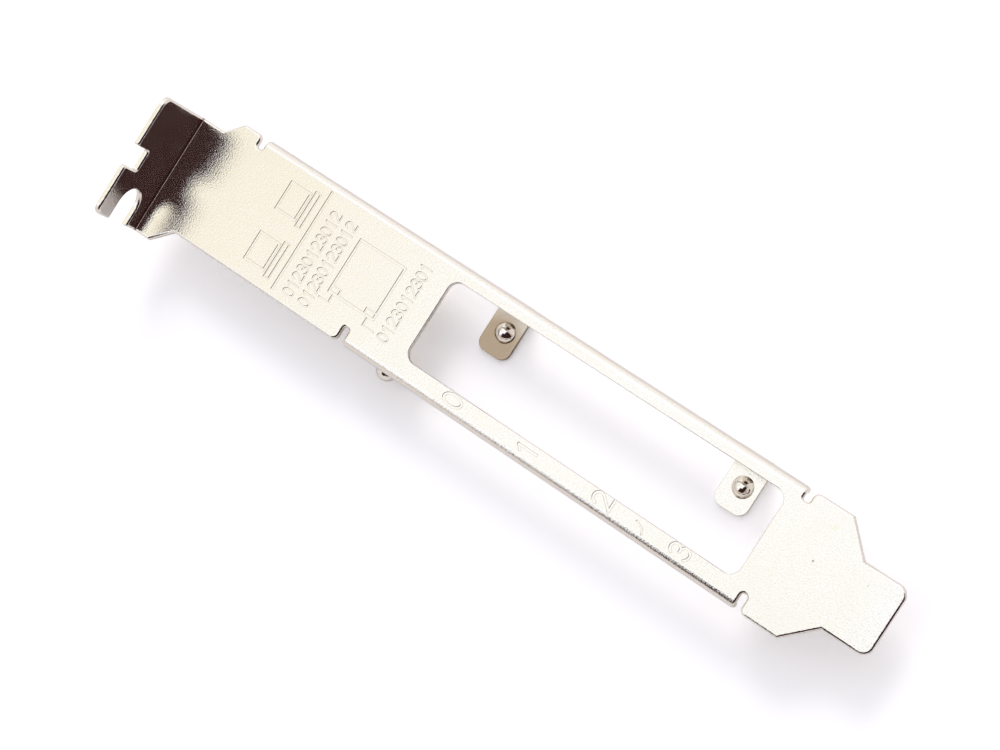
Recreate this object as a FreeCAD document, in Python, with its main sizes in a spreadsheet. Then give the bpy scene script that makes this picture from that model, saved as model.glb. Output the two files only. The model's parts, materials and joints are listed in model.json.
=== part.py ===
import FreeCAD, Part
import math
import os

import Sketcher

# Full height expansion card bracket: one folded and plated steel sheet.
# While it is drawn, X runs across the plate, Y along it towards the fixing flange and Z out of its outer face.
# Zero is on the plate's centre line, where the outer face would meet the seat face of the flange.
# The finished body is then moved so that its feet stand on Z = 0, under the middle of its box.

# Driving sizes, in millimetres and degrees.
SIZES = {
    # Sheet and plate
    "thickness": 0.86,
    "plate_width": 18.42,
    "shoulder_end": 108.3,
    # Fixing flange, folded outwards at the top of the plate
    "fold_radius": 0.2,
    "flange_height": 11.43,
    "flange_left": 12.15,
    "flange_right": 6.75,
    "flange_corner": 1.5,
    "neck_left": 2.6,
    "neck_right": 3.7,
    "key_place": 2.78,
    "key_width": 3.25,
    "key_depth": 3.4,
    "key_corner": 0.4,
    "slot_width": 5.0,
    "slot_height": 5.1,
    "slot_reach": 5.4,
    # Rolled lips along both sides, each between two relief notches
    "lip_radius": 0.3,
    "lip_depth": 2.0,
    "right_lip_start": 10.4,
    "left_lip_start": 36.4,
    "lip_end": 101.5,
    "relief_width": 1.0,
    "relief_left": 2.45,
    "relief_right": 1.85,
    "relief_corner": 0.4,
    "mouth_radius": 0.9,
    # Port window
    "window_left": 5.88,
    "window_right": 6.9,
    "window_start": 45.35,
    "window_length": 54.35,
    "window_corner": 1.6,
    # Tongue that drops into the chassis
    "tongue_width": 10.19,
    "tongue_length": 6.8,
    "tongue_corner": 1.5,
    "tongue_droop": 3.5,
    # Two feet under the right rail
    "stance_depth": 8.2,
    "first_foot": 52.95,
    "foot_pitch": 39.55,
    "foot_width": 5.15,
    "foot_reach": 8.6,
    "foot_corner": 1.5,
    "knee_radius": 0.5,
    # One straight leg under the left lip
    "side_leg": 42.6,
    "side_leg_width": 6.0,
    "side_leg_corner": 1.0,
    # Pressed dimples on the feet and the leg
    "dimple_radius": 1.55,
    "dimple_height": 1.2,
    "dimple_ring": 0.25,
    "punch_radius": 0.9,
    "dimple_wall": 0.55,
    "foot_dimple": 4.9,
    "foot_dimple_offset": 0.25,
    "side_dimple": 4.4,
}

NODE = "bracket"

doc = FreeCAD.newDocument("Bracket")
sheet = doc.addObject("Spreadsheet::Sheet", "Sizes")
for row, (alias, value) in enumerate(SIZES.items(), start=1):
    sheet.set(f"A{row}", alias)
    sheet.set(f"B{row}", str(value))
    sheet.setAlias(f"B{row}", alias)
doc.recompute()

body = doc.addObject("PartDesign::Body", "Bracket")
body.Label = NODE


def size(alias):
    """The expression that reads one cell of the sheet."""
    return f"Sizes.{alias}"


# Places that several features share, each worked out from the cells.
THICK = size("thickness")
HALF = "(Sizes.plate_width / 2)"
LIP_OUT = "(Sizes.lip_radius + Sizes.thickness)"
FLAT = f"({HALF} - {LIP_OUT})"
FOLD = size("fold_radius")
FLANGE_TOP = size("flange_height")
LEFT_END = "(-Sizes.flange_left)"
RIGHT_END = size("flange_right")
RIGHT_NECK = f"(-(Sizes.neck_right + {HALF} - {RIGHT_END}))"
LEFT_NECK = f"(-(Sizes.neck_left + Sizes.flange_left - {HALF}))"
LIP_END = "(-Sizes.lip_end)"
SHOULDER = "(-Sizes.shoulder_end)"
TONGUE_HALF = "(Sizes.tongue_width / 2)"
TONGUE_ROOT = f"(-(Sizes.shoulder_end + {HALF} - {TONGUE_HALF}))"
FOOT_TIP = f"({HALF} - Sizes.foot_reach)"
FOOT_LOW = "(-Sizes.stance_depth)"
FOOT_TOP = f"({FOOT_LOW} + {THICK})"


def number(expression):
    """The value of an expression at the sheet's present sizes."""
    return float(sheet.evalExpression(expression))


def origin_plane(role):
    """The body's own origin plane with this role."""
    return next(item for item in body.Origin.OriginFeatures if item.Role == role)


def new_sketch(name, role, shift=("0", "0", "0"), axis=(0, 0, 1), angle="0"):
    """A sketch on an origin plane, shifted and turned in that plane's own axes."""
    sketch = body.newObject("Sketcher::SketchObject", name)
    sketch.AttachmentSupport = [(origin_plane(role), "")]
    sketch.MapMode = "FlatFace"
    turn = FreeCAD.Rotation(FreeCAD.Vector(*axis), number(angle))
    base = FreeCAD.Vector(*[number(part) for part in shift])
    sketch.AttachmentOffset = FreeCAD.Placement(base, turn)
    for letter, part in zip("xyz", shift):
        sketch.setExpression(f"AttachmentOffset.Base.{letter}", part)
    if angle != "0":
        sketch.setExpression("AttachmentOffset.Rotation.Angle", angle)
    return sketch


def bind(sketch, kind, *places, expression):
    """A dimension between sketch places that follows an expression."""
    index = sketch.addConstraint(Sketcher.Constraint(kind, *places, number(expression)))
    sketch.setExpression(f"Constraints[{index}]", expression)


def pin(sketch, geometry, place, corner):
    """Holds one point of the sketch at the expressions (x, y)."""
    bind(sketch, "DistanceX", -1, 1, geometry, place, expression=corner[0])
    bind(sketch, "DistanceY", -1, 1, geometry, place, expression=corner[1])


def outline(sketch, corners):
    """A closed outline through corners (x, y) or, where it is rounded, (x, y, radius)."""
    count = len(corners)
    at = [FreeCAD.Vector(number(c[0]), number(c[1]), 0) for c in corners]
    enter, leave, arcs = list(at), list(at), {}
    for i, corner in enumerate(corners):
        if len(corner) < 3:
            continue
        radius = number(corner[2])
        back = (at[i - 1] - at[i]).normalize()
        ahead = (at[(i + 1) % count] - at[i]).normalize()
        half_angle = back.getAngle(ahead) / 2
        enter[i] = at[i] + back * (radius / math.tan(half_angle))
        leave[i] = at[i] + ahead * (radius / math.tan(half_angle))
        middle = (back + ahead).normalize()
        centre = at[i] + middle * (radius / math.sin(half_angle))
        through = centre - middle * radius
        turns_left = (at[i] - at[i - 1]).cross(at[(i + 1) % count] - at[i]).z > 0
        arcs[i] = (enter[i], through, leave[i]) if turns_left else (leave[i], through, enter[i])
    lines = [
        sketch.addGeometry(Part.LineSegment(leave[i], enter[(i + 1) % count]), False) for i in range(count)
    ]
    for i, corner in enumerate(corners):
        before, after = lines[i - 1], lines[i]
        if i not in arcs:
            sketch.addConstraint(Sketcher.Constraint("Coincident", before, 2, after, 1))
            pin(sketch, after, 1, corner)
            continue
        arc = sketch.addGeometry(Part.Arc(*arcs[i]), False)
        first = 1 if arcs[i][0].isEqual(enter[i], 1e-7) else 2
        sketch.addConstraint(Sketcher.Constraint("Tangent", before, 2, arc, first))
        sketch.addConstraint(Sketcher.Constraint("Tangent", arc, 3 - first, after, 1))
        bind(sketch, "Radius", arc, expression=corner[2])
        point = sketch.addGeometry(Part.Point(at[i]), True)
        pin(sketch, point, 1, corner)
        sketch.addConstraint(Sketcher.Constraint("PointOnObject", point, 1, before))
        sketch.addConstraint(Sketcher.Constraint("PointOnObject", point, 1, after))


def feature(kind, name, sketch, length, reverse=False):
    """A pad or a pocket of a sketch, with its length bound to an expression."""
    item = body.newObject(f"PartDesign::{kind}", name)
    item.Profile = sketch
    item.Length = number(length)
    item.setExpression("Length", length)
    item.Reversed = reverse
    doc.recompute()
    return item


def relief_notch(side, depth, far_y, near_y, lip_is_ahead):
    """Corners of one relief notch, walked towards the tongue; side is 1 on the right and -1 on the left."""
    edge = f"({side} * {HALF})"
    flat = f"({side} * {FLAT})"
    bottom = f"({side} * ({HALF} - {depth}))"
    inner = [(bottom, far_y, size("relief_corner")), (bottom, near_y, size("relief_corner"))]
    if lip_is_ahead:
        return [(edge, far_y, size("mouth_radius")), *inner, (flat, near_y)]
    return [(flat, far_y), *inner, (edge, near_y, size("mouth_radius"))]


def make_plate():
    """The flat of the sheet between the flange's fold, the lips and the tongue."""
    right_start = "(-Sizes.right_lip_start)"
    left_start = "(-Sizes.left_lip_start)"
    right_end = left_end = f"({LIP_END} - Sizes.relief_width)"
    right = relief_notch(1, size("relief_right"), f"({right_start} + Sizes.relief_width)", right_start, True)
    right += relief_notch(1, size("relief_right"), LIP_END, right_end, False)
    left = relief_notch(-1, size("relief_left"), f"({left_start} + Sizes.relief_width)", left_start, True)
    left += relief_notch(-1, size("relief_left"), LIP_END, left_end, False)
    corners = [
        (LEFT_END, f"(-{FOLD})"),
        (RIGHT_END, f"(-{FOLD})"),
        (RIGHT_END, "(-Sizes.neck_right)"),
        (HALF, RIGHT_NECK),
        *right,
        (HALF, SHOULDER),
        (TONGUE_HALF, TONGUE_ROOT),
        (f"(-{TONGUE_HALF})", TONGUE_ROOT),
        (f"(-{HALF})", SHOULDER),
        *reversed(left),
        (f"(-{HALF})", LEFT_NECK),
        (LEFT_END, "(-Sizes.neck_left)"),
    ]
    sketch = new_sketch("plate_outline", "XY_Plane")
    outline(sketch, corners)
    return feature("Pad", "plate", sketch, THICK, reverse=True)


def make_fold():
    """The bend between the plate and the flange, concave on the outer face."""
    sketch = new_sketch("fold_profile", "YZ_Plane", shift=("0", "0", LEFT_END))
    root = f"(-{FOLD} - {THICK} / 2)"
    top = f"({FOLD} + {THICK} / 2)"
    corners = [
        (root, "0"),
        (root, f"(-{THICK})"),
        (THICK, f"(-{THICK})", f"({FOLD} + {THICK})"),
        (THICK, top),
        ("0", top),
        ("0", "0", FOLD),
    ]
    outline(sketch, corners)
    return feature("Pad", "fold", sketch, "Sizes.flange_left + Sizes.flange_right")


def make_flange():
    """The fixing flange with its key notch in the far edge."""
    notch_right = "(Sizes.key_width / 2 - Sizes.key_place)"
    notch_left = "(-Sizes.key_width / 2 - Sizes.key_place)"
    notch_floor = f"({FLANGE_TOP} - Sizes.key_depth)"
    key_corner = size("key_corner")
    corners = [
        (LEFT_END, FOLD),
        (RIGHT_END, FOLD),
        (RIGHT_END, FLANGE_TOP, size("flange_corner")),
        (notch_right, FLANGE_TOP, key_corner),
        (notch_right, notch_floor, key_corner),
        (notch_left, notch_floor, key_corner),
        (notch_left, FLANGE_TOP, key_corner),
        (LEFT_END, FLANGE_TOP, size("flange_corner")),
    ]
    sketch = new_sketch("flange_outline", "XZ_Plane")
    outline(sketch, corners)
    return feature("Pad", "flange", sketch, THICK, reverse=True)


def cut_screw_slot():
    """The screw slot, open at the flange's left end and half round at its other end."""
    sketch = new_sketch("screw_slot_outline", "XZ_Plane")
    radius = "(Sizes.slot_width / 2)"
    centre = (f"({LEFT_END} + Sizes.slot_reach - {radius})", size("slot_height"))
    mouth = f"({LEFT_END} - {THICK})"
    top = f"(Sizes.slot_height + {radius})"
    bottom = f"(Sizes.slot_height - {radius})"
    x_end, x_mouth, y_top, y_low = number(centre[0]), number(mouth), number(top), number(bottom)
    tip = FreeCAD.Vector(x_end + number(radius), number(centre[1]), 0)
    corner = {
        "top_end": FreeCAD.Vector(x_end, y_top, 0),
        "low_end": FreeCAD.Vector(x_end, y_low, 0),
        "top_mouth": FreeCAD.Vector(x_mouth, y_top, 0),
        "low_mouth": FreeCAD.Vector(x_mouth, y_low, 0),
    }
    upper = sketch.addGeometry(Part.LineSegment(corner["top_end"], corner["top_mouth"]), False)
    end = sketch.addGeometry(Part.LineSegment(corner["top_mouth"], corner["low_mouth"]), False)
    lower = sketch.addGeometry(Part.LineSegment(corner["low_mouth"], corner["low_end"]), False)
    arc = sketch.addGeometry(Part.Arc(corner["low_end"], tip, corner["top_end"]), False)
    sketch.addConstraint(Sketcher.Constraint("Coincident", upper, 2, end, 1))
    sketch.addConstraint(Sketcher.Constraint("Coincident", end, 2, lower, 1))
    sketch.addConstraint(Sketcher.Constraint("Tangent", lower, 2, arc, 1))
    sketch.addConstraint(Sketcher.Constraint("Tangent", arc, 2, upper, 1))
    sketch.addConstraint(Sketcher.Constraint("Horizontal", upper))
    sketch.addConstraint(Sketcher.Constraint("Horizontal", lower))
    pin(sketch, arc, 3, centre)
    bind(sketch, "Radius", arc, expression=radius)
    bind(sketch, "DistanceX", -1, 1, end, 1, expression=mouth)
    bind(sketch, "DistanceX", -1, 1, end, 2, expression=mouth)
    return feature("Pocket", "screw_slot", sketch, f"2 * {THICK}")


def make_lip(name, side, start):
    """One rolled lip along a side of the plate; side is 1 on the right and -1 on the left."""
    sketch = new_sketch(f"{name}_profile", "XZ_Plane", shift=("0", "0", start))
    outer = f"({side} * {HALF})"
    inner = f"({side} * ({HALF} - {THICK}))"
    root = f"({side} * ({FLAT} - {THICK} / 2))"
    low = "(-Sizes.lip_depth)"
    corners = [
        (root, "0"),
        (outer, "0", LIP_OUT),
        (outer, low),
        (inner, low),
        (inner, f"(-{THICK})", size("lip_radius")),
        (root, f"(-{THICK})"),
    ]
    outline(sketch, corners)
    return feature("Pad", name, sketch, f"Sizes.lip_end - {start}")


def cut_window():
    """The port window between the two rails."""
    first = "(-Sizes.window_start)"
    last = "(-(Sizes.window_start + Sizes.window_length))"
    left = "(-Sizes.window_left)"
    corner = size("window_corner")
    corners = [
        (left, first, corner),
        (left, last, corner),
        (size("window_right"), last, corner),
        (size("window_right"), first, corner),
    ]
    sketch = new_sketch("window_outline", "XY_Plane")
    outline(sketch, corners)
    return feature("Pocket", "window", sketch, f"2 * {THICK}")


def make_tongue():
    """The narrow tongue, bent a little inwards from the plate's end."""
    droop = size("tongue_droop")
    sketch = new_sketch("tongue_outline", "XY_Plane", shift=("0", TONGUE_ROOT, "0"), axis=(1, 0, 0), angle=droop)
    end = "(-Sizes.tongue_length)"
    corners = [
        (f"(-{TONGUE_HALF})", "0"),
        (f"(-{TONGUE_HALF})", end, size("tongue_corner")),
        (TONGUE_HALF, end, size("tongue_corner")),
        (TONGUE_HALF, "0"),
    ]
    outline(sketch, corners)
    return feature("Pad", "tongue", sketch, THICK, reverse=True)


def make_foot(name, place):
    """A leg that drops from the right lip and turns in under the window."""
    start = f"({place} - Sizes.foot_width / 2)"
    sketch = new_sketch(f"{name}_profile", "XZ_Plane", shift=("0", "0", start))
    leg_top = f"(-{LIP_OUT})"
    inner = f"({HALF} - {THICK})"
    corners = [
        (HALF, leg_top),
        (inner, leg_top),
        (inner, FOOT_TOP, size("knee_radius")),
        (FOOT_TIP, FOOT_TOP),
        (FOOT_TIP, FOOT_LOW),
        (HALF, FOOT_LOW, f"(Sizes.knee_radius + {THICK})"),
    ]
    outline(sketch, corners)
    return feature("Pad", name, sketch, size("foot_width"))


def make_side_leg():
    """The straight leg that drops from the left lip."""
    start = "(Sizes.side_leg - Sizes.side_leg_width / 2)"
    sketch = new_sketch("side_leg_profile", "XZ_Plane", shift=("0", "0", start))
    outer = f"(-{HALF})"
    inner = f"({THICK} - {HALF})"
    corners = [(outer, f"(-{LIP_OUT})"), (outer, FOOT_LOW), (inner, FOOT_LOW), (inner, f"(-{LIP_OUT})")]
    outline(sketch, corners)
    return feature("Pad", "side_leg", sketch, size("side_leg_width"))


def half_round(sketch, radius, crown, foot):
    """Half of a round-topped form beside the sketch's upright axis, from its foot up to its crown."""
    r, high, low = number(radius), number(crown), number(foot)
    rise = high
    sphere = (r * r + rise * rise) / (2 * rise)
    half_angle = math.atan2(r, sphere - rise) / 2
    through = FreeCAD.Vector(sphere * math.sin(half_angle), high - sphere + sphere * math.cos(half_angle), 0)
    top, side = FreeCAD.Vector(0, high, 0), FreeCAD.Vector(r, 0, 0)
    toe, heel = FreeCAD.Vector(r, low, 0), FreeCAD.Vector(0, low, 0)
    arc = sketch.addGeometry(Part.Arc(side, through, top), False)
    axis = sketch.addGeometry(Part.LineSegment(top, heel), False)
    base = sketch.addGeometry(Part.LineSegment(heel, toe), False)
    wall = sketch.addGeometry(Part.LineSegment(toe, side), False)
    sketch.addConstraint(Sketcher.Constraint("Coincident", arc, 2, axis, 1))
    sketch.addConstraint(Sketcher.Constraint("Coincident", axis, 2, base, 1))
    sketch.addConstraint(Sketcher.Constraint("Coincident", base, 2, wall, 1))
    sketch.addConstraint(Sketcher.Constraint("Coincident", wall, 2, arc, 1))
    sketch.addConstraint(Sketcher.Constraint("PointOnObject", arc, 3, -2))
    pin(sketch, axis, 1, ("0", crown))
    pin(sketch, base, 1, ("0", foot))
    pin(sketch, wall, 1, (radius, foot))
    pin(sketch, arc, 1, (radius, "0"))


def turn_form(kind, name, sketch):
    """A full turn of a sketch about its own upright axis."""
    item = body.newObject(f"PartDesign::{kind}", name)
    item.Profile = sketch
    item.ReferenceAxis = (sketch, ["V_Axis"])
    item.Angle = 360
    doc.recompute()
    return item


def press_dimple(name, shift, angle):
    """A dimple pressed out of the sheet: a round dome, and the hollow that its punch leaves behind it."""
    dome = new_sketch(f"{name}_dome_profile", "XZ_Plane", shift=shift, angle=angle)
    half_round(dome, size("dimple_radius"), size("dimple_height"), f"(-{THICK} / 2)")
    turn_form("Revolution", f"{name}_dome", dome)
    hollow = new_sketch(f"{name}_hollow_profile", "XZ_Plane", shift=shift, angle=angle)
    crown = "(Sizes.dimple_height - Sizes.dimple_wall)"
    half_round(hollow, size("punch_radius"), crown, f"(-2 * {THICK})")
    turn_form("Groove", f"{name}_hollow", hollow)


def nearest_edge(point, fits):
    """The name of the edge that fits and has its middle nearest to a point."""
    near = []
    for index, edge in enumerate(body.Shape.Edges, start=1):
        if not edge.Degenerated and fits(edge):
            near.append(((edge.CenterOfMass - point).Length, f"Edge{index}"))
    return min(near)[1]


def is_straight(edge):
    """Whether an edge is a straight line."""
    return isinstance(edge.Curve, Part.Line)


def is_ring(edge):
    """Whether an edge is a full circle of the dimple's foot."""
    circle = isinstance(edge.Curve, Part.Circle) and edge.isClosed()
    return circle and abs(edge.Curve.Radius - number(size("dimple_radius"))) < 1e-4


def round_edges(name, radius, points, fits):
    """One fillet on the edges nearest to the points."""
    item = body.newObject("PartDesign::Fillet", name)
    item.Base = (body.Tip if body.Tip != item else item.BaseFeature, [nearest_edge(p, fits) for p in points])
    item.Radius = number(radius)
    item.setExpression("Radius", radius)
    doc.recompute()
    return item


def place(x, y, z):
    """A point given by three expressions, in the drawing's own axes."""
    return FreeCAD.Vector(number(x), number(y), number(z))


FOOT_PLACES = {"first_foot": size("first_foot"), "second_foot": "(Sizes.first_foot + Sizes.foot_pitch)"}
DIMPLE_X = f"({HALF} - Sizes.foot_dimple)"

make_plate()
make_fold()
make_flange()
make_lip("right_lip", 1, size("right_lip_start"))
make_lip("left_lip", -1, size("left_lip_start"))
make_tongue()
for foot, foot_place in FOOT_PLACES.items():
    make_foot(foot, foot_place)
make_side_leg()
cut_screw_slot()
cut_window()

# Rounded corners of the feet and of the straight leg.
half_foot = "(Sizes.foot_width / 2)"
tips = [
    place(FOOT_TIP, f"(-{centre} {sign} {half_foot})", f"({FOOT_LOW} + {THICK} / 2)")
    for centre in FOOT_PLACES.values()
    for sign in "+-"
]
round_edges("foot_tips", size("foot_corner"), tips, is_straight)
half_leg = "(Sizes.side_leg_width / 2)"
leg_corners = [place(f"({THICK} / 2 - {HALF})", f"(-Sizes.side_leg {sign} {half_leg})", FOOT_LOW) for sign in "+-"]
round_edges("leg_corners", size("side_leg_corner"), leg_corners, is_straight)

# Dimples face up from the feet and outwards from the leg.
dimple_feet = []
for foot, foot_place in FOOT_PLACES.items():
    centre = f"({foot_place} + Sizes.foot_dimple_offset)"
    press_dimple(f"{foot}_dimple", (DIMPLE_X, FOOT_TOP, centre), "0")
    dimple_feet.append(place(DIMPLE_X, f"(-{centre})", FOOT_TOP))
press_dimple("side_leg_dimple", (f"(-{HALF})", "(-Sizes.side_dimple)", size("side_leg")), "90")
dimple_feet.append(place(f"(-{HALF})", "(-Sizes.side_leg)", "(-Sizes.side_dimple)"))
round_edges("dimple_rings", size("dimple_ring"), dimple_feet, is_ring)

# The finished body stands on its feet, with zero under the middle of its box.
STANCE = {
    "x": f"(Sizes.flange_left - {HALF}) / 2",
    "y": f"(-{TONGUE_ROOT} + Sizes.tongue_length * cos(Sizes.tongue_droop) - {THICK}) / 2",
    "z": size("stance_depth"),
}
for letter, expression in STANCE.items():
    body.setExpression(f"Placement.Base.{letter}", expression)
doc.recompute()

faulty = [item.Name for item in doc.Objects if {"Invalid", "Error"} & set(item.State)]
if faulty:
    raise RuntimeError(f"failed objects: {faulty}")
if body.Shape.isNull() or not body.Shape.isValid():
    raise RuntimeError("the bracket's shape is not valid")
if len(body.Shape.Solids) != 1:
    raise RuntimeError(f"the bracket has {len(body.Shape.Solids)} solids")

os.makedirs("parts", exist_ok=True)
body.Shape.exportStep(f"parts/{body.Label}.step")
print(f"{body.Label}: volume {body.Shape.Volume:.2f} mm3, box {body.Shape.BoundBox}")
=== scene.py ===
"""The looks of a full height expansion card bracket: nickel plated sheet with stamped port marks."""

import json
import math

import bmesh
import bpy
from mathutils import Matrix, Vector


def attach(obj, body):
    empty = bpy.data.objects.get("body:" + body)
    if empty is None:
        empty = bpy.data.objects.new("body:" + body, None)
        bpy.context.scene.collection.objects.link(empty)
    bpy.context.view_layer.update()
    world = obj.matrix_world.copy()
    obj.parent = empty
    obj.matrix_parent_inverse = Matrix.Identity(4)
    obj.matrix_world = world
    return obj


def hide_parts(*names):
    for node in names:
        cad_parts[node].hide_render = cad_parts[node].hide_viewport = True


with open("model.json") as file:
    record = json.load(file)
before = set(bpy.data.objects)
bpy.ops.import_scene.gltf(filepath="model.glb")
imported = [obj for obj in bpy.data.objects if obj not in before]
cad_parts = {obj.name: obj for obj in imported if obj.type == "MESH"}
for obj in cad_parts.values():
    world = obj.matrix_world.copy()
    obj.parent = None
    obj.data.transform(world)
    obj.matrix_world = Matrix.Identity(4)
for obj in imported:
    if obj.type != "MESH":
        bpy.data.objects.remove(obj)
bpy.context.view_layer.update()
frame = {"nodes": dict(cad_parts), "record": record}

MM = 0.001
MOUNTS = {mount["name"]: mount["pos_m"] for mount in frame["record"]["mounts"]}

# Plate places are in millimetres from the point on the centre line
# where the outer face would meet the flange's seat face.
PLATE_ZERO = Vector((MOUNTS["outer_face"][0], MOUNTS["flange_seat"][1], MOUNTS["outer_face"][2]))
PLATE_TO_FRAME = Matrix.Translation(PLATE_ZERO) @ Matrix.Scale(MM, 4)

# Camera of the photograph: its place in plate millimetres, the ways that its right and its front point,
# its lens and sensor in millimetres, and the nearest distance that it shows, in metres.
CAMERA_PLACE = (12.5, -148.5, 266.7)
CAMERA_RIGHT = (0.5369, -0.7911, -0.2937)
CAMERA_FORWARD = (-0.0465, 0.3199, -0.9463)
FOCAL_LENGTH = 75.77
SENSOR_WIDTH = 36.0
NEAREST_SEEN = 0.01

# Rounding of the sheet's cut edges in millimetres: the full width where the outer side ends,
# and shares of it round the window and on the back.
EDGE_ROUNDING = 0.38
ROUNDING_STEPS = 4
WINDOW_SHARE = 0.35
BACK_SHARE = 0.2
WINDOW_SPAN = (-100.8, -44.0)
FACE_LEVEL = 0.1

# Joining of the solid's triangles, and shading of the finished sheet.
WELD_DISTANCE = 0.0005
FLAT_ANGLE = math.radians(0.4)
SHARP_ANGLE = math.radians(30)
FLAT_FACE_WEIGHT = 90
SPLIT_CORNERS = 5

# Pressed domes in millimetres: the centre of each one's base, and the way it points.
# The ring is how far the solid's soft blend reaches up and to either side of the base.
DOME_RADIUS = 1.57
DOME_HEIGHT = 1.212
DOME_RING = 0.26
DOME_CIRCLES = 24
DOME_SPOKES = 64
FOOT_TOP = -7.34
DOMES = {
    "first_foot_dome": ((4.31, -53.2, FOOT_TOP), (0, 0, 1)),
    "second_foot_dome": ((4.31, -92.75, FOOT_TOP), (0, 0, 1)),
    "side_leg_dome": ((-9.21, -42.6, -4.4), (-1, 0, 0)),
}

# Stamped marks in millimetres: floor widths, the run and depth of the sloping walls,
# and how far a cutter stands above the face. The walls take the sheet's second material: rougher plating
# whose darker colour is painted shade in the grooves.
MARK_FLOOR = 0.28
ROW_FLOOR = 0.14
MARK_WALL = 0.07
MARK_DEPTH = 0.05
CUTTER_RISE = 0.02
FLOOR_FINISH = 0
WALL_FINISH = 1
FLOOR_FACING = -0.9

# Way round a cutter's section, whose corners are floor left, floor right, top left and top right.
SECTION = (0, 1, 3, 2)
SECTION_SIDES = ((0, 1), (1, 3), (3, 2), (2, 0))

# Degrees between the points of a digit's arc.
ARC_STEP = 18


def at(x, y, z=0.0):
    """A place on the plate, given in millimetres, as a point of the shared frame in metres."""
    return PLATE_TO_FRAME @ Vector((x, y, z))


def add_object(name, mesh):
    """Links a mesh to the scene as a new object."""
    item = bpy.data.objects.new(name, mesh)
    bpy.context.scene.collection.objects.link(item)
    return item


def baked(item):
    """The mesh of an object with its modifiers applied."""
    depsgraph = bpy.context.evaluated_depsgraph_get()
    depsgraph.update()
    return bpy.data.meshes.new_from_object(item.evaluated_get(depsgraph))


def apply_modifiers(item):
    """Puts an object's modifiers into its mesh."""
    item.data = baked(item)
    item.modifiers.clear()


def smooth(item):
    """Shades an object smooth, with flat faces and mark walls kept flat and real corners sharp."""
    rounded = [polygon.material_index != WALL_FINISH for polygon in item.data.polygons]
    item.data.polygons.foreach_set("use_smooth", rounded)
    item.data.set_sharp_from_angle(angle=SHARP_ANGLE)
    weighted = item.modifiers.new("flat_faces", "WEIGHTED_NORMAL")
    weighted.keep_sharp = True
    weighted.weight = FLAT_FACE_WEIGHT
    split = item.modifiers.new("split_large_faces", "TRIANGULATE")
    split.min_vertices = SPLIT_CORNERS
    split.keep_custom_normals = True
    apply_modifiers(item)


def outer_skin(form):
    """The sheet's outer side: the plate's face and all faces that run on from it without a corner."""
    plate_face = max(form.faces, key=lambda face: face.normal.z * face.calc_area())
    skin = {plate_face}
    waiting = [plate_face]
    while waiting:
        for edge in waiting.pop().edges:
            if edge.calc_face_angle() < SHARP_ANGLE:
                fresh = set(edge.link_faces) - skin
                skin |= fresh
                waiting += fresh
    return skin


def edge_share(edge, skin):
    """How much of the full rounding an edge gets."""
    if edge.calc_face_angle() < SHARP_ANGLE or not edge.is_convex:
        return 0.0
    if sum(face in skin for face in edge.link_faces) != 1:
        return BACK_SHARE
    place = edge.verts[0].co
    at_window = WINDOW_SPAN[0] < place.y < WINDOW_SPAN[1] and abs(place.z) < FACE_LEVEL
    return WINDOW_SHARE if at_window else 1.0


def clear_dome_rings(form):
    """Takes the soft ring round each dome down to the sheet, so that the dome's skin has a crisp base."""
    for centre, direction in DOMES.values():
        axis = Vector(direction)
        for vert in form.verts:
            away = vert.co - Vector(centre)
            level = away.dot(axis)
            across = (away - level * axis).length
            if 0 < level < DOME_RING and abs(across - DOME_RADIUS) < DOME_RING:
                vert.co -= level * axis


def sheet_copy():
    """The CAD sheet in plate millimetres, with its flat faces joined and its cut edges rounded."""
    mesh = frame["nodes"]["bracket"].data.copy()
    mesh.name = "plated_sheet"
    mesh.transform(PLATE_TO_FRAME.inverted())
    form = bmesh.new()
    form.from_mesh(mesh)
    bmesh.ops.remove_doubles(form, verts=form.verts, dist=WELD_DISTANCE)
    clear_dome_rings(form)
    bmesh.ops.dissolve_limit(form, angle_limit=FLAT_ANGLE, verts=form.verts, edges=form.edges)
    skin = outer_skin(form)
    share = form.edges.layers.float.new("bevel_weight_edge")
    for edge in form.edges:
        edge[share] = edge_share(edge, skin)
    form.to_mesh(mesh)
    form.free()
    for layer in list(mesh.attributes):
        if layer.name == "custom_normal":
            mesh.attributes.remove(layer)
    sheet = add_object("plated_sheet", mesh)
    bevel = sheet.modifiers.new("edge_rounding", "BEVEL")
    bevel.width = EDGE_ROUNDING
    bevel.segments = ROUNDING_STEPS
    bevel.limit_method = "WEIGHT"
    bevel.use_clamp_overlap = False
    bevel.loop_slide = False
    apply_modifiers(sheet)
    return sheet


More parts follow.
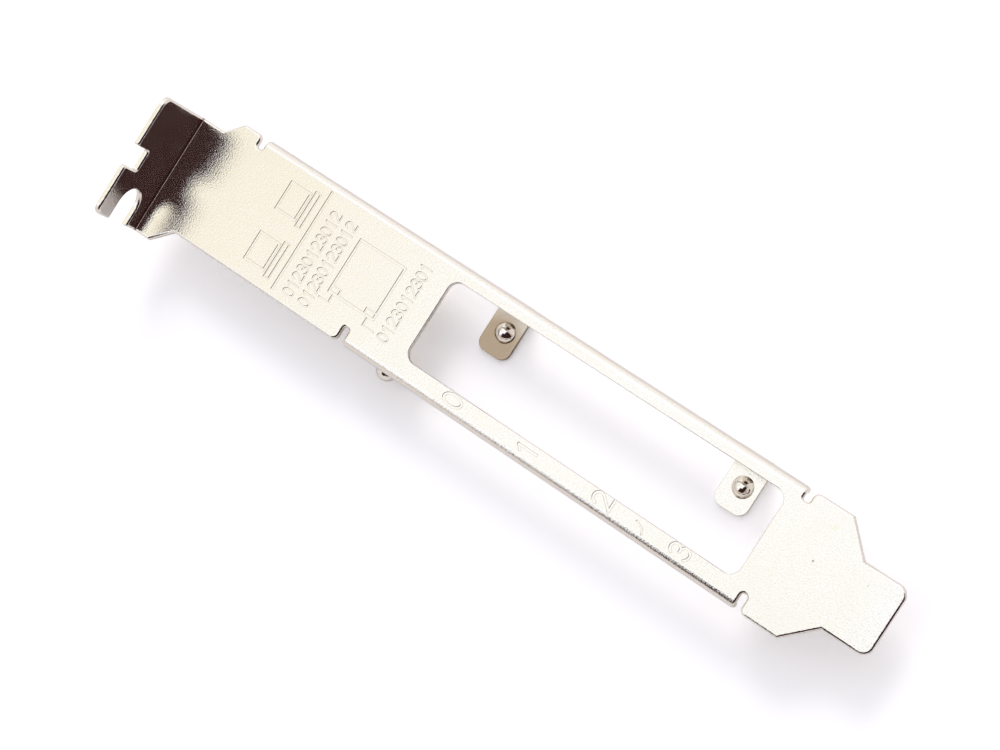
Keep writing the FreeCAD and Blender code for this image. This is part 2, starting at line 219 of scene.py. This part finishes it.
def groove(path, closed=False, floor=MARK_FLOOR):
    """A cutter for a stamped line with sloping walls, along plate places."""
    points = [Vector(place) for place in path]
    spans = len(points) if closed else len(points) - 1
    runs = [(points[(i + 1) % len(points)] - points[i]).normalized() for i in range(spans)]
    top = floor / 2 + MARK_WALL * (1 + CUTTER_RISE / MARK_DEPTH)
    corners = []
    for i, point in enumerate(points):
        coming = runs[i - 1] if closed or i > 0 else runs[0]
        going = runs[i] if i < spans else runs[-1]
        middle = (coming + going).normalized()
        side = Vector((-middle.y, middle.x)) / middle.dot(going)
        ahead = 0 if closed else (i == spans) - (i == 0)
        for reach, level in ((floor / 2, -MARK_DEPTH), (top, CUTTER_RISE)):
            for turn in (1, -1):
                place = point + going * (ahead * reach) + side * (turn * reach)
                corners.append((place.x, place.y, level))
    faces = []
    for i in range(spans):
        near = len(SECTION) * i
        far = len(SECTION) * ((i + 1) % len(points))
        faces += [(near + start, near + end, far + end, far + start) for start, end in SECTION_SIDES]
    if not closed:
        ends = (0, len(SECTION) * spans)
        faces += [tuple(end + corner for corner in SECTION) for end in ends]
    mesh = bpy.data.meshes.new("groove")
    mesh.from_pydata(corners, [], faces)
    form = bmesh.new()
    form.from_mesh(mesh)
    bmesh.ops.recalc_face_normals(form, faces=form.faces)
    form.to_mesh(mesh)
    form.free()
    return mesh


def bow(x, y, across, high, first, last):
    """Points along an oval's arc between two angles in degrees."""
    steps = math.ceil(abs(last - first) / ARC_STEP)
    angles = [math.radians(first + (last - first) * step / steps) for step in range(steps + 1)]
    return [(x + across * math.cos(angle), y + high * math.sin(angle)) for angle in angles]


# Centre lines of plain digits one unit high, to either side of their own middle.
DIGITS = (
    (bow(0, 0.5, 0.27, 0.5, 90, 450),),
    (((-0.15, 0.82), (0.05, 1.0)), ((0.05, 1.0), (0.05, 0.0))),
    (bow(0, 0.73, 0.27, 0.27, 170, -35) + [(-0.28, 0.0)], ((-0.28, 0.0), (0.3, 0.0))),
    (bow(0, 0.75, 0.25, 0.25, 155, -90), bow(0, 0.26, 0.28, 0.26, 90, -155)),
)


def digit_grooves(digit, x, y, height, floor):
    """The cutters of one digit centred on a plate place, with its top towards the flange."""
    cutters = []
    for line in DIGITS[digit]:
        path = [(x + across * height, y + (up - 0.5) * height) for across, up in line]
        closed = digit == 0
        cutters.append(groove(path[:-1] if closed else path, closed, floor))
    return cutters


def box(left, right, top, foot):
    """The corners of a rectangle on the plate."""
    return ((left, top), (right, top), (right, foot), (left, foot))


# Places of the stamped marks on the plate. A row of digits has the place of its first one, and a count.
NETWORK_LINE = ((-8.0, -23.2), (7.7, -23.2))
SCREEN_CENTRES = (-4.45, 3.8)
SCREEN = {"half": 2.15, "top": -17.1, "foot": -20.55}
SCREEN_BASE = {"half": 2.8, "top": -21.1, "foot": -21.9}
PORT_BOX = {"left": -3.9, "right": 4.4, "top": -30.7, "foot": -38.55}
LAMP_DEPTH = 0.9
LAMPS = {
    "upper": {"edge": PORT_BOX["top"], "inner": -32.2, "leader": -31.5, "away": -29.9},
    "lower": {"edge": PORT_BOX["foot"], "inner": -36.85, "leader": -37.65, "away": -39.5},
}
LEADER_X = -5.3
RAIL_DIGITS = ((-7.0, -54.6), (-7.0, -67.2), (-6.9, -79.6), (-6.85, -91.9))
RAIL_DIGIT_HEIGHT = 2.9
TICK = ((-6.65, -84.95), (-7.1, -86.1), (-7.8, -86.4))
ROW_DIGIT_HEIGHT = 1.7
ROW_PITCH = 1.24
ROWS = ((-7.2, -25.6, 11), (-7.2, -28.4, 11), (-5.2, -41.2, 10))


def legend_grooves():
    """A network sign of two screens on one line, and a port outline with two lamp windows and leaders."""
    cutters = [groove(NETWORK_LINE)]
    for centre in SCREEN_CENTRES:
        for shape, floor in ((SCREEN, MARK_FLOOR), (SCREEN_BASE, ROW_FLOOR)):
            outline = box(centre - shape["half"], centre + shape["half"], shape["top"], shape["foot"])
            cutters.append(groove(outline, closed=True, floor=floor))
    cutters.append(groove(box(**PORT_BOX), closed=True))
    left = PORT_BOX["left"]
    lamp_x = left + LAMP_DEPTH
    for lamp in LAMPS.values():
        pane = ((left, lamp["inner"]), (lamp_x, lamp["inner"]), (lamp_x, lamp["edge"]))
        leader = ((left, lamp["leader"]), (LEADER_X, lamp["leader"]), (LEADER_X, lamp["away"]))
        cutters += [groove(line, floor=ROW_FLOOR) for line in (pane, leader)]
    return cutters


def mark_cutters():
    """The cutters of all stamped marks: the legend, the port numbers on the rail, number rows and a tick."""
    cutters = legend_grooves()
    for digit, (x, y) in enumerate(RAIL_DIGITS):
        cutters += digit_grooves(digit, x, y, RAIL_DIGIT_HEIGHT, MARK_FLOOR)
    for start, y, count in ROWS:
        for place in range(count):
            digit = place % len(DIGITS)
            cutters += digit_grooves(digit, start + place * ROW_PITCH, y, ROW_DIGIT_HEIGHT, ROW_FLOOR)
    cutters.append(groove(TICK, floor=ROW_FLOOR))
    return cutters


def engrave(sheet, metals):
    """Cuts the marks into the sheet's outer face, one cutter after another."""
    for cutter_mesh in mark_cutters():
        for metal in metals:
            cutter_mesh.materials.append(metal)
        for polygon in cutter_mesh.polygons:
            polygon.material_index = FLOOR_FINISH if polygon.normal.z < FLOOR_FACING else WALL_FINISH
        cutter = add_object("cutter", cutter_mesh)
        cut = sheet.modifiers.new("cut", "BOOLEAN")
        cut.operation = "DIFFERENCE"
        cut.solver = "EXACT"
        cut.object = cutter
        apply_modifiers(sheet)
        bpy.data.objects.remove(cutter)


def dome(name, centre, axis):
    """A finely divided skin over one pressed dome."""
    sphere = (DOME_RADIUS**2 + DOME_HEIGHT**2) / (2 * DOME_HEIGHT)
    reach = math.atan2(DOME_RADIUS, sphere - DOME_HEIGHT)
    places = [Vector((0, 0, DOME_HEIGHT))]
    for circle in range(1, DOME_CIRCLES + 1):
        angle = reach * circle / DOME_CIRCLES
        radius = sphere * math.sin(angle)
        level = DOME_HEIGHT - sphere + sphere * math.cos(angle)
        for spoke in range(DOME_SPOKES):
            turn = math.tau * spoke / DOME_SPOKES
            places.append(Vector((radius * math.cos(turn), radius * math.sin(turn), level)))
    faces = []
    for spoke in range(DOME_SPOKES):
        after = (spoke + 1) % DOME_SPOKES
        faces.append((0, 1 + spoke, 1 + after))
        for circle in range(DOME_CIRCLES - 1):
            here = 1 + circle * DOME_SPOKES
            beyond = here + DOME_SPOKES
            faces.append((here + spoke, beyond + spoke, beyond + after, here + after))
    tilt = Vector((0, 0, 1)).rotation_difference(Vector(axis))
    mesh = bpy.data.meshes.new(name)
    mesh.from_pydata([Vector(centre) + tilt @ place for place in places], [], faces)
    mesh.transform(PLATE_TO_FRAME)
    mesh.shade_smooth()
    return add_object(name, mesh)


def value_node(tree, kind, **sockets):
    """A node with some of its input sockets set."""
    node = tree.nodes.new(kind)
    for name, value in sockets.items():
        node.inputs[name].default_value = value
    return node


def vector_node(tree, operation, socket, fixed):
    """A vector node that works on a socket and a fixed vector."""
    node = tree.nodes.new("ShaderNodeVectorMath")
    node.operation = operation
    node.inputs[1].default_value = fixed
    tree.links.new(socket, node.inputs[0])
    return node


def soft_step(tree, socket, low, high):
    """A mask that goes smoothly from 0 to 1 while a value goes from low to high."""
    step = tree.nodes.new("ShaderNodeMapRange")
    step.interpolation_type = "SMOOTHSTEP"
    step.inputs["From Min"].default_value = low
    step.inputs["From Max"].default_value = high
    tree.links.new(socket, step.inputs["Value"])
    return step.outputs["Result"]


def mixed(tree, mask, below, above):
    """A colour socket that goes from one colour to another by a mask; below may be a socket or a colour."""
    mix = tree.nodes.new("ShaderNodeMix")
    mix.data_type = "RGBA"
    tree.links.new(mask, mix.inputs["Factor"])
    if isinstance(below, tuple):
        mix.inputs["A"].default_value = (*below, 1.0)
    else:
        tree.links.new(below, mix.inputs["A"])
    mix.inputs["B"].default_value = (*above, 1.0)
    return mix.outputs["Result"]


# Noises of the plating: how fine and how detailed each is, and the values between which its mask rises.
PEEL_NOISE = {"scale": 4500.0, "detail": 2.0, "low": 0.35, "high": 0.65}
CLOUD_NOISE = {"scale": 170.0, "detail": 4.0, "low": 0.42, "high": 0.68}
NOISE_ROUGHNESS = 0.6


def noise_mask(group, scale, detail, low, high):
    """A noise in the object's own space, and a mask that rises between two of its values."""
    place = group.nodes.new("ShaderNodeTexCoord")
    noise = value_node(group, "ShaderNodeTexNoise", Scale=scale, Detail=detail, Roughness=NOISE_ROUGHNESS)
    group.links.new(place.outputs["Object"], noise.inputs["Vector"])
    return noise.outputs["Fac"], soft_step(group, noise.outputs["Fac"], low, high)


def plating_group():
    """The plating's fine orange peel as a height, and masks of its grain and of its duller clouds."""
    group = bpy.data.node_groups.new("plating", "ShaderNodeTree")
    for name in ("Peel", "Grain", "Cloud"):
        group.interface.new_socket(name, in_out="OUTPUT", socket_type="NodeSocketFloat")
    peel, grain = noise_mask(group, **PEEL_NOISE)
    cloud = noise_mask(group, **CLOUD_NOISE)[1]
    out = group.nodes.new("NodeGroupOutput")
    for name, socket in (("Peel", peel), ("Grain", grain), ("Cloud", cloud)):
        group.links.new(socket, out.inputs[name])
    return group


def spot_mask(tree, centre, inner, outer, axes=(1, 1, 1)):
    """A soft mask about a plate place, 1 within the inner radius and 0 beyond the outer one.

    An axis given as 0 is left out of the distance.
    """
    place = tree.nodes.new("ShaderNodeTexCoord")
    kept = vector_node(tree, "MULTIPLY", place.outputs["Object"], axes)
    away = vector_node(tree, "DISTANCE", kept.outputs["Vector"], at(*centre) * Vector(axes))
    return soft_step(tree, away.outputs["Value"], outer * MM, inner * MM)


BRIGHT_PLATING = (0.94, 0.895, 0.81)
DULL_PLATING = (0.90, 0.848, 0.757)
GRAIN_PLATING = (0.87, 0.82, 0.735)
# Painted shade: the darker colour of the stamped marks' walls.
MARK_WALL_SHADE = (0.76, 0.70, 0.61)

# A painted reflection on the first foot, a darker and browner patch where it mirrors dim surroundings, and
# small real specks on the shoulder: place, inner and outer radius and colour.
SPECKS_AND_PAINTED_REFLECTION = (
    # Painted reflection: the first foot darker and browner where it mirrors dim surroundings.
    ((2.4, -52.4, -7.4), 2.4, 7.5, (0.42, 0.318, 0.22)),
    ((1.55, -106.93, 0.0), 0.08, 0.22, (0.46, 0.41, 0.34)),
    ((2.72, -114.39, 0.0), 0.06, 0.24, (0.60, 0.56, 0.48)),
    ((6.57, -106.99, 0.0), 0.05, 0.6, (0.87, 0.85, 0.67)),
)

# Painted shade: a darker band in the inside corner of the flange's fold, along its whole length.
FOLD_PAINTED_SHADE = (0.5, 0.38, 0.32)
FOLD_REACH = (0.1, 0.3)
FOLD_CENTRE = (0, 0, 0)
FOLD_AXES = (0, 1, 1)


def plated_steel(name, plating, roughness, peel_height, bright=BRIGHT_PLATING, specks_and_reflection=()):
    """Warm nickel plating over steel sheet, with painted shade in the flange's fold and any painted
    reflection and specks given.
    """
    material = bpy.data.materials.new(name)
    material.use_nodes = True
    tree = material.node_tree
    shader = tree.nodes["Principled BSDF"]
    shader.inputs["Metallic"].default_value = 1.0
    shader.inputs["Roughness"].default_value = roughness
    finish = tree.nodes.new("ShaderNodeGroup")
    finish.node_tree = plating
    colour = mixed(tree, finish.outputs["Grain"], bright, GRAIN_PLATING)
    colour = mixed(tree, finish.outputs["Cloud"], colour, DULL_PLATING)
    # Painted shade in the inside corner of the flange's fold.
    fold_shade = spot_mask(tree, FOLD_CENTRE, *FOLD_REACH, axes=FOLD_AXES)
    colour = mixed(tree, fold_shade, colour, FOLD_PAINTED_SHADE)
    # Painted reflection on the first foot, and the real specks on the shoulder.
    for centre, inner, outer, tint in specks_and_reflection:
        colour = mixed(tree, spot_mask(tree, centre, inner, outer), colour, tint)
    tree.links.new(colour, shader.inputs["Base Color"])
    bump = value_node(tree, "ShaderNodeBump", Strength=1.0, Distance=peel_height * MM)
    tree.links.new(finish.outputs["Peel"], bump.inputs["Height"])
    tree.links.new(bump.outputs["Normal"], shader.inputs["Normal"])
    return material


WHITE = (1.0, 1.0, 1.0, 1.0)
PAPER_COLOUR = (0.91, 0.88, 0.89, 1.0)
PAPER_ROUGHNESS = 0.9
PAPER_GLOW = 0.32
FLOOR_HALF = 2.0


def white_paper():
    """Matt paper that the camera sees lifted towards white, with the shadows kept."""
    material = bpy.data.materials.new("white_paper")
    material.use_nodes = True
    tree = material.node_tree
    shader = tree.nodes["Principled BSDF"]
    shader.inputs["Base Color"].default_value = PAPER_COLOUR
    shader.inputs["Roughness"].default_value = PAPER_ROUGHNESS
    shader.inputs["Specular IOR Level"].default_value = 0.0
    shader.inputs["Emission Color"].default_value = WHITE
    path = tree.nodes.new("ShaderNodeLightPath")
    glow = tree.nodes.new("ShaderNodeMath")
    glow.operation = "MULTIPLY"
    glow.inputs[1].default_value = PAPER_GLOW
    tree.links.new(path.outputs["Is Camera Ray"], glow.inputs[0])
    tree.links.new(glow.outputs["Value"], shader.inputs["Emission Strength"])
    return material


def make_floor():
    """A wide pale floor at the feet."""
    half = FLOOR_HALF
    corners = [(-half, -half, 0), (half, -half, 0), (half, half, 0), (-half, half, 0)]
    mesh = bpy.data.meshes.new("floor")
    mesh.from_pydata(corners, [], [(0, 1, 2, 3)])
    floor = add_object("floor", mesh)
    mesh.materials.append(white_paper())


def sky_mask(tree, direction, inner, outer):
    """A soft round mask, 1 within the inner angle of a direction and 0 beyond the outer one, in degrees."""
    place = tree.nodes.new("ShaderNodeTexCoord")
    near = vector_node(tree, "DOT_PRODUCT", place.outputs["Generated"], Vector(direction).normalized())
    low = math.cos(math.radians(outer))
    high = math.cos(math.radians(inner))
    return soft_step(tree, near.outputs["Value"], low, high)


# What the plating mirrors: each patch is a direction, its inner and outer angle and its colour.
ROOM_COLOUR = (0.78, 0.74, 0.725)
DARK = (0.038, 0.0158, 0.0182)
ROOM_PATCHES = (
    ((0.85, 0.25, 0.45), 20, 48, (1.03, 1.02, 1.01)),
    ((0.0, 0.1, 1.0), 25, 62, (1.15, 1.21, 1.36)),
    ((0.0, 0.65, 1.0), 6, 15, (1.0, 0.965, 0.82)),
    ((-0.11, 0.14, 0.98), 1, 9, (1.0, 1.02, 0.93)),
    ((-0.12, -0.68, 0.72), 29, 36, DARK),
    ((-0.5, -0.4, 0.77), 19, 27, DARK),
    ((-0.48, -0.02, 0.87), 13, 16, DARK),
    ((-0.8, -0.05, 0.6), 18, 22, DARK),
    ((-0.6, -0.6, 0.5), 18, 24, DARK),
    ((-0.12, -0.9, 0.35), 20, 28, DARK),
)


def make_room():
    """Pale surroundings with a bright top and a dark near side, which the camera sees as plain white."""
    world = bpy.data.worlds.new("room")
    bpy.context.scene.world = world
    world.use_nodes = True
    tree = world.node_tree
    colour = ROOM_COLOUR
    for direction, inner, outer, patch_colour in ROOM_PATCHES:
        colour = mixed(tree, sky_mask(tree, direction, inner, outer), colour, patch_colour)
    room = tree.nodes["Background"]
    tree.links.new(colour, room.inputs["Color"])
    paper = tree.nodes.new("ShaderNodeBackground")
    paper.inputs["Color"].default_value = WHITE
    path = tree.nodes.new("ShaderNodeLightPath")
    choose = tree.nodes.new("ShaderNodeMixShader")
    tree.links.new(path.outputs["Is Camera Ray"], choose.inputs["Fac"])
    tree.links.new(room.outputs["Background"], choose.inputs[1])
    tree.links.new(paper.outputs["Background"], choose.inputs[2])
    tree.links.new(choose.outputs["Shader"], tree.nodes["World Output"].inputs["Surface"])


# The lamp's direction from the part, with its distance and size in metres and its power in watts.
KEY_DIRECTION = Vector((0.75, 0.35, 0.7))
KEY_DISTANCE = 1.2
KEY_SIZE = 0.45
KEY_POWER = 4.8


def make_key_light():
    """A soft lamp on the right, beyond the flange."""
    lamp = bpy.data.lights.new("key", "AREA")
    lamp.shape = "DISK"
    lamp.size = KEY_SIZE
    lamp.energy = KEY_POWER
    key = bpy.data.objects.new("key", lamp)
    key.location = KEY_DIRECTION.normalized() * KEY_DISTANCE
    key.rotation_euler = KEY_DIRECTION.to_track_quat("Z", "Y").to_euler()
    key.visible_camera = False
    key.visible_glossy = False
    bpy.context.scene.collection.objects.link(key)


def make_camera():
    """The photograph's camera."""
    lens = bpy.data.cameras.new("photo_camera")
    lens.lens = FOCAL_LENGTH
    lens.sensor_width = SENSOR_WIDTH
    lens.sensor_fit = "HORIZONTAL"
    lens.clip_start = NEAREST_SEEN
    camera = bpy.data.objects.new("photo_camera", lens)
    forward = Vector(CAMERA_FORWARD).normalized()
    right = (Vector(CAMERA_RIGHT) - forward * forward.dot(Vector(CAMERA_RIGHT))).normalized()
    up = right.cross(forward)
    turn = Matrix((right, up, -forward)).transposed().to_4x4()
    camera.matrix_world = Matrix.Translation(at(*CAMERA_PLACE)) @ turn
    bpy.context.scene.collection.objects.link(camera)
    bpy.context.scene.camera = camera


plating = plating_group()
sheet_metal = plated_steel("plated_steel", plating, roughness=0.1, peel_height=0.027, specks_and_reflection=SPECKS_AND_PAINTED_REFLECTION)
# The mark walls are rougher, and their darker colour is painted shade in the grooves.
mark_metal = plated_steel("mark_walls_painted_shade", plating, roughness=0.2, peel_height=0.004, bright=MARK_WALL_SHADE)
dome_metal = plated_steel("pressed_domes", plating, roughness=0.05, peel_height=0.001)

sheet = sheet_copy()
sheet.data.materials.clear()
for metal in (sheet_metal, mark_metal):
    sheet.data.materials.append(metal)
engrave(sheet, (sheet_metal, mark_metal))
smooth(sheet)
sheet.data.transform(PLATE_TO_FRAME)
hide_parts("bracket")
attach(sheet, "root")

for dome_name, (centre, axis) in DOMES.items():
    skin = dome(dome_name, centre, axis)
    skin.data.materials.append(dome_metal)
    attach(skin, "root")

make_floor()
make_room()
make_key_light()
make_camera()
bpy.context.scene.view_settings.view_transform = "Standard"
